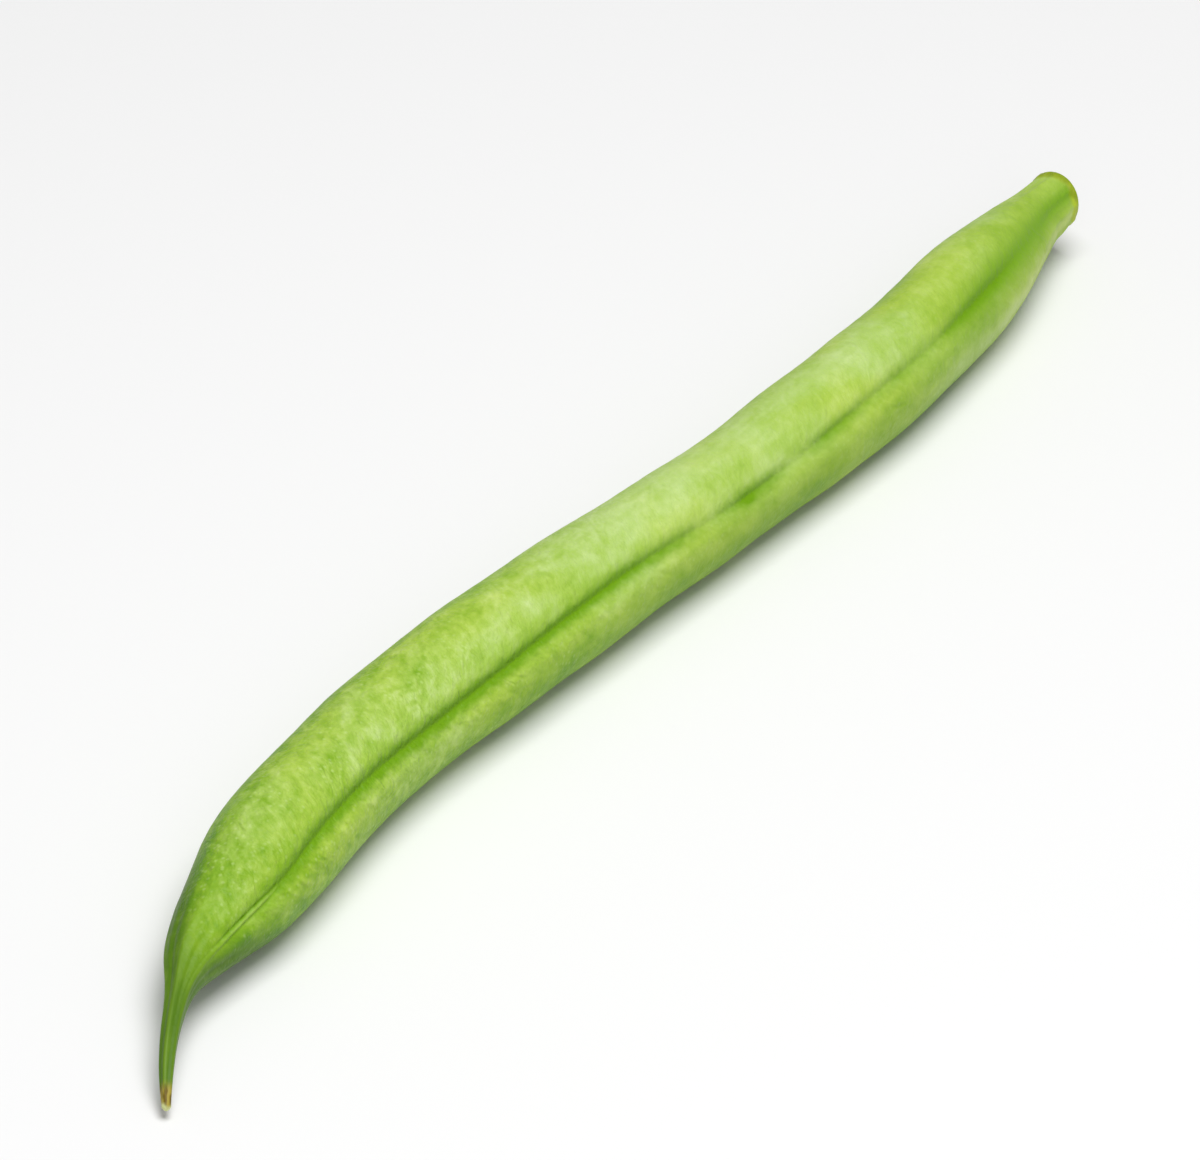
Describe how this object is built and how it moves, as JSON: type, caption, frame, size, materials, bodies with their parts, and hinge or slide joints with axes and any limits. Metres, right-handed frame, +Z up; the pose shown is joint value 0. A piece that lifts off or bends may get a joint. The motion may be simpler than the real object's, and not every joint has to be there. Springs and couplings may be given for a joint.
{
  "type": "green bean",
  "caption": "Fresh green bean pod, slender and gently S-curved, with a seam along its side, a thin curved beak at one end and a cut neck at the other, lying on its side.",
  "frame": {"origin": "middle of the underside of the bounding box, on the surface that the pod lies on", "axes": "+X along the pod from the beak to the neck, +Z up, +Y across the pod to the side that its body bends to near the beak"},
  "size_m": [0.1312, 0.0136, 0.0088],
  "materials": {
    "pod_skin": "satin, waxy fresh plant skin"
  },
  "bodies": {
    "root": {"pod": "pod_skin"}
  },
  "joints": []
}
